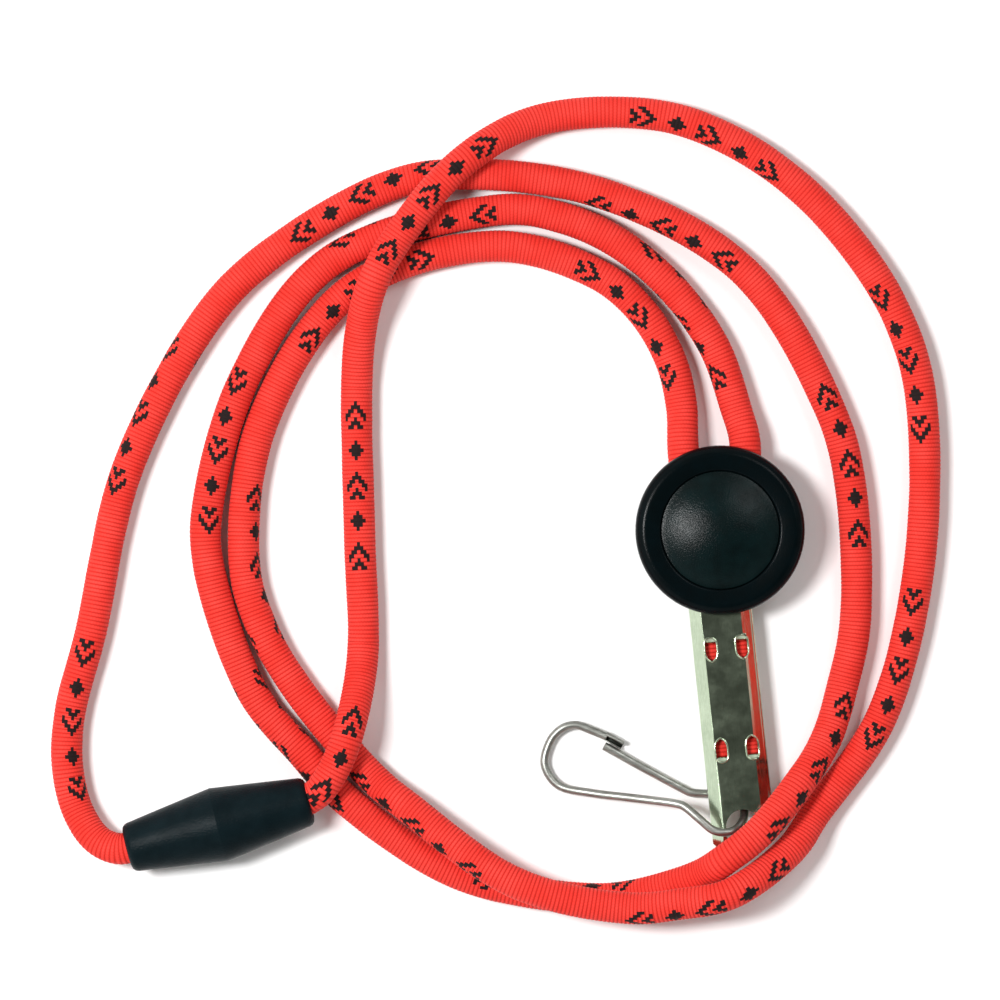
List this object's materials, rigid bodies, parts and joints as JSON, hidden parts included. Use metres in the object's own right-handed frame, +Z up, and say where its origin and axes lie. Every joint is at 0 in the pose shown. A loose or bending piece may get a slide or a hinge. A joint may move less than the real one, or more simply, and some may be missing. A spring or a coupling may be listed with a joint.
{
  "type": "whistle lanyard",
  "caption": "Round woven cord neck lanyard laid out in a loop, with a breakaway barrel, a round cord slider, a folded metal crimp and a wire spring hook.",
  "frame": {"origin": "middle of the hardware's outline (crimp, hook, slider and barrel, without the loose cord), on the surface that the lanyard lies on", "axes": "+X along the hardware's longest side, from the breakaway barrel to the slider; +Y from the hook to the slider; +Z up from the surface"},
  "size_m": [0.1194, 0.1113, 0.0106],
  "materials": {
    "cord": "neon red-orange woven polyester cord with fine cross ribs and small black woven marks",
    "nickel": "bright nickel plated sheet steel",
    "spring_wire": "nickel plated spring wire with faint drawing lines",
    "slider_plastic": "black moulded plastic, fine spark texture",
    "cap_plastic": "black moulded plastic dome, fine spark texture",
    "barrel_plastic": "black moulded plastic, matt"
  },
  "bodies": {
    "cord_and_crimp": {"cord_strand_right": "cord", "cord_strand_left": "cord", "cord_end_left": "cord", "cord_end_right": "cord", "cord_tip_right": "cord", "crimp_sleeve": "nickel", "breakaway_socket": "barrel_plastic"},
    "slider": {"slider_back": "slider_plastic", "slider_front": "slider_plastic", "slider_cap": "cap_plastic"},
    "hook": {"hook_wire": "spring_wire"},
    "gate": {"hook_gate_arm": "spring_wire"},
    "plug_half": {"breakaway_plug": "barrel_plastic", "cord_tip_left": "cord"}
  },
  "joints": [
    {"name": "slider_slide", "type": "slide", "parent": "cord_and_crimp", "child": "slider", "axis": [-0.1033, 0.9947, 0], "range_m": [0, 0.009], "deforming": ["cord_strand_right", "cord_strand_left"]},
    {"name": "hook_swing", "type": "hinge", "parent": "cord_and_crimp", "child": "hook", "pos_m": [0.0355, -0.0208, 0.0033], "axis": [0, 0, 1], "range_deg": [-8, 15]},
    {"name": "gate_flex", "type": "hinge", "parent": "hook", "child": "gate", "pos_m": [0.03375, -0.0185, 0.00065], "axis": [0, 0, 1], "range_deg": [0, 14], "stiffness_Nm_per_rad": 0.15, "springref_deg": -2.86},
    {"name": "breakaway_pull", "type": "slide", "parent": "cord_and_crimp", "child": "plug_half", "axis": [-0.9675, -0.2529, 0], "range_m": [0, 0.009], "deforming": ["cord_strand_right"]}
  ]
}
